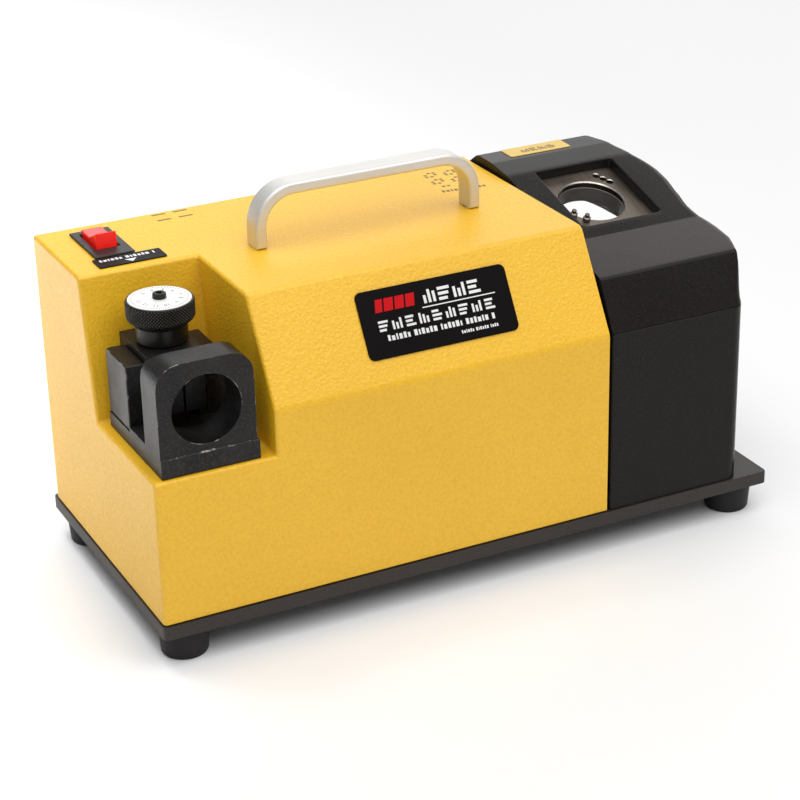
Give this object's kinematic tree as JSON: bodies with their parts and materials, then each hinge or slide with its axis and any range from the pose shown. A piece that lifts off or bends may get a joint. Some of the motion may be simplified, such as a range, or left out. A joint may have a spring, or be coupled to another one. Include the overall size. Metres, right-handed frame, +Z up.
{
  "type": "drill bit sharpener",
  "caption": "Bench machine for regrinding twist drills: housed motor and grinding wheel, angled grinding port, and a ledge with a dial-set drill positioning device.",
  "frame": {"origin": "on the table under the middle of the base plate", "axes": "+X along the machine towards the grinding wheel, -Y towards the operator, +Z up"},
  "size_m": [0.32, 0.15, 0.1879],
  "materials": {
    "yellow_paint": "fine-textured yellow powder coat",
    "black_paint": "satin black, fine texture",
    "plate_paint": "dark powder coat",
    "black_steel": "blackened steel with bright worn edges",
    "bright_steel": "turned steel",
    "port_steel": "brown-grey ground steel",
    "cast_aluminium": "cast",
    "handle_aluminium": "finely brushed",
    "grinding_stone": "bonded abrasive",
    "foot_rubber": "matte",
    "black_plastic": "satin",
    "red_plastic": "glossy",
    "white_plastic": "satin",
    "label_black": "printed film",
    "label_yellow": "printed film"
  },
  "bodies": {
    "machine": {"base_plate": "plate_paint", "foot_front_left": "foot_rubber", "foot_front_right": "foot_rubber", "foot_rear_left": "foot_rubber", "foot_rear_right": "foot_rubber", "foot_screw_front_left": "bright_steel", "foot_screw_front_right": "bright_steel", "foot_screw_rear_left": "bright_steel", "foot_screw_rear_right": "bright_steel", "plate_screw_1": "bright_steel", "plate_screw_2": "bright_steel", "plate_screw_3": "bright_steel", "main_housing": "yellow_paint", "bulkhead": "plate_paint", "power_inlet": "black_plastic", "wheel_cover": "black_paint", "wheel_hood": "black_paint", "port_plate": "port_steel", "port_sleeve": "black_steel", "stop_pin_l": "bright_steel", "stop_pin_r": "bright_steel", "motor_body": "cast_aluminium", "motor_cap_left": "cast_aluminium", "motor_cap_right": "cast_aluminium", "bearing_left": "bright_steel", "bearing_right": "bright_steel", "motor_cradle": "plate_paint", "run_capacitor": "cast_aluminium", "setting_bracket": "black_steel", "guide_block_left": "black_steel", "guide_block_right": "black_steel", "setting_channel": "black_steel", "switch_frame": "black_plastic", "carry_handle": "handle_aluminium", "handle_screw_left": "bright_steel", "handle_screw_right": "bright_steel", "name_plate": "label_black", "setting_label": "label_black", "hood_label": "label_yellow"},
    "spindle": {"motor_shaft": "bright_steel", "cooling_fan": "black_plastic", "wheel_flange": "bright_steel", "grinding_wheel": "grinding_stone", "wheel_washer": "bright_steel", "wheel_nut": "bright_steel"},
    "knob": {"setting_knob": "black_steel", "dial_disc": "white_plastic", "knob_screw": "black_steel", "knob_shaft": "bright_steel"},
    "jaw_left": {"setting_jaw_left": "black_steel"},
    "jaw_right": {"setting_jaw_right": "black_steel"},
    "rocker": {"switch_rocker": "red_plastic"}
  },
  "joints": [
    {"name": "spindle_spin", "type": "hinge", "parent": "machine", "child": "spindle", "pos_m": [0, 0.006, 0.08], "axis": [1, 0, 0], "continuous": true},
    {"name": "knob_turn", "type": "hinge", "parent": "machine", "child": "knob", "pos_m": [-0.1314, -0.0196, 0.145], "axis": [0, 0, 1], "range_deg": [0, 300]},
    {"name": "jaw_left_slide", "type": "slide", "parent": "machine", "child": "jaw_left", "axis": [-1, 0, 0], "range_m": [0, 0.003]},
    {"name": "jaw_right_slide", "type": "slide", "parent": "machine", "child": "jaw_right", "axis": [1, 0, 0], "range_m": [0, 0.003]},
    {"name": "rocker_tilt", "type": "hinge", "parent": "machine", "child": "rocker", "pos_m": [-0.1351, 0.0459, 0.1596], "axis": [1, 0, 0], "range_deg": [0, 24]}
  ],
  "couplings": [
    {"joint": "jaw_left_slide", "follows": "knob_turn", "m_per_rad": 0.00057},
    {"joint": "jaw_right_slide", "follows": "knob_turn", "m_per_rad": 0.00057}
  ]
}
